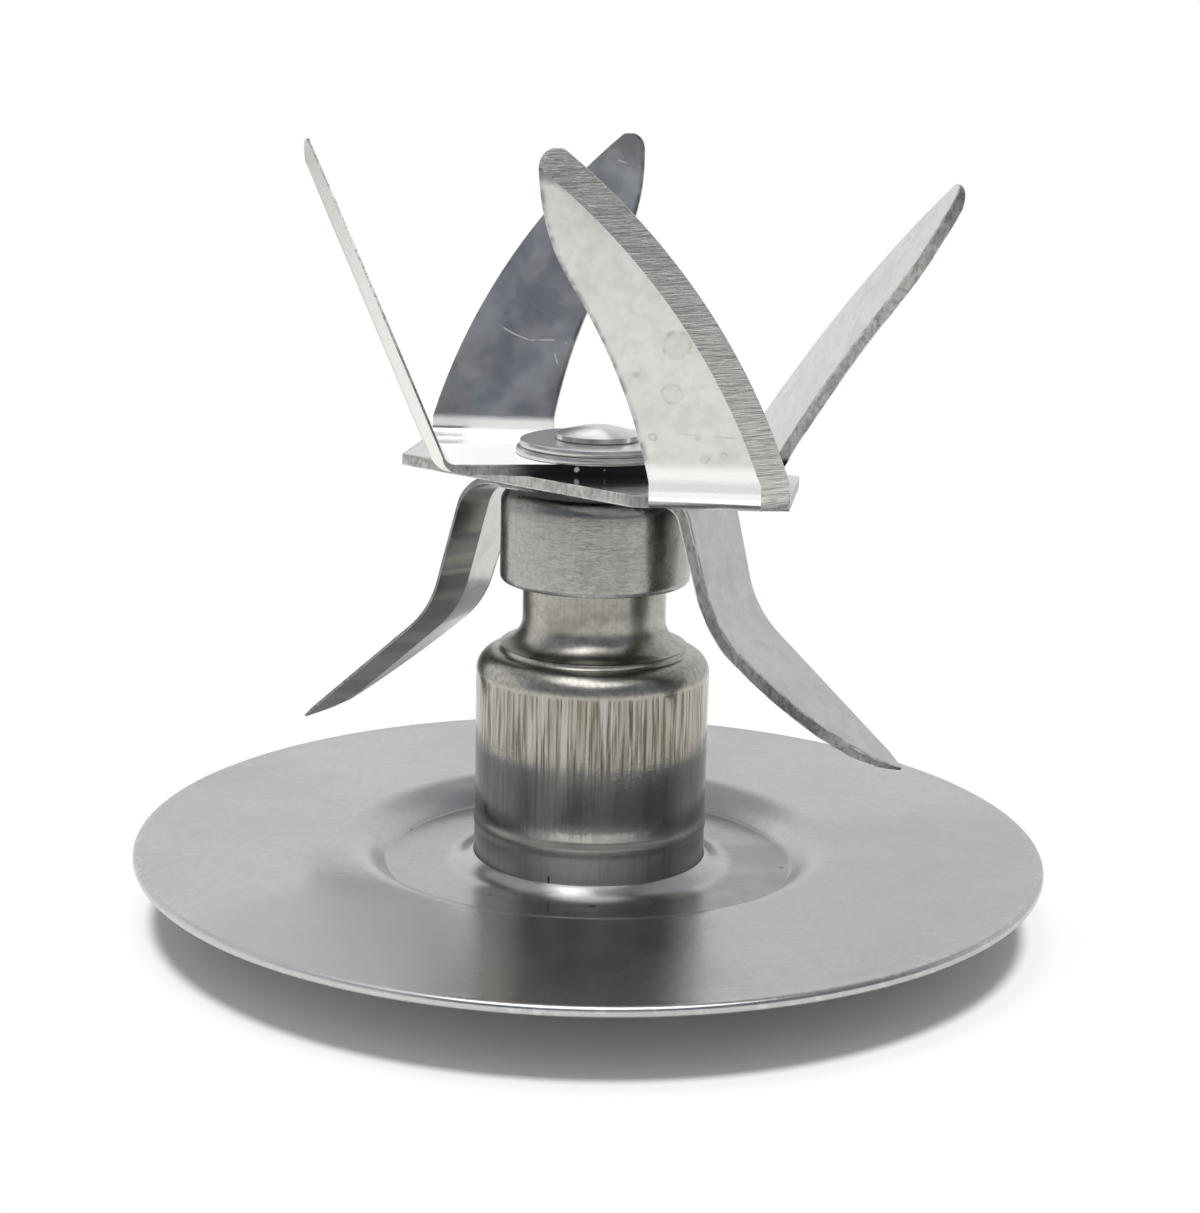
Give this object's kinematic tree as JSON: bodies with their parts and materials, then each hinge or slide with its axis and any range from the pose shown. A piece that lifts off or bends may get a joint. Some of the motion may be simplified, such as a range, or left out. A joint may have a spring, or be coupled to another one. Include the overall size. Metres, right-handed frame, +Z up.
{
  "type": "blender blade assembly",
  "caption": "Blender blade assembly: bent cutting blades riveted to a shaft that turns in a hub, on a dished round base plate.",
  "frame": {"origin": "on the shaft axis, in the plane the drive coupling stands on", "axes": "+Z up along the shaft from the coupling to the rivet head, +X to the right and +Y away as seen from the front"},
  "size_m": [0.076, 0.076, 0.064],
  "materials": {
    "plate_steel": "satin with fine scratches and small pits",
    "housing_steel": "drawn, with vertical grain and streaks",
    "cap_steel": "satin with fine orange-peel texture",
    "blade_steel": "satin faces, ground edges, water spots",
    "shaft_steel": "turned, riveted at the head",
    "washer_steel": "stamped",
    "coupling_steel": "dull",
    "bush_bronze": "sintered",
    "wick_felt": "oiled felt",
    "seal_rubber": "matt"
  },
  "bodies": {
    "base": {"base_plate": "plate_steel", "bearing_housing": "housing_steel", "lower_bush": "bush_bronze", "oil_wick": "wick_felt", "upper_bush": "bush_bronze", "shaft_seal": "seal_rubber", "neck_thrust_washer": "washer_steel"},
    "rotor": {"shaft": "shaft_steel", "retaining_ring": "washer_steel", "bottom_thrust_washer": "washer_steel", "slip_washer": "washer_steel", "slinger_cap": "cap_steel", "drive_coupling": "coupling_steel", "lower_blade": "blade_steel", "middle_blade": "blade_steel", "upper_blade": "blade_steel", "lower_top_washer": "washer_steel", "upper_top_washer": "washer_steel"}
  },
  "joints": [
    {"name": "blade_spin", "type": "hinge", "parent": "base", "child": "rotor", "pos_m": [0, 0, 0.02], "axis": [0, 0, 1], "continuous": true}
  ]
}
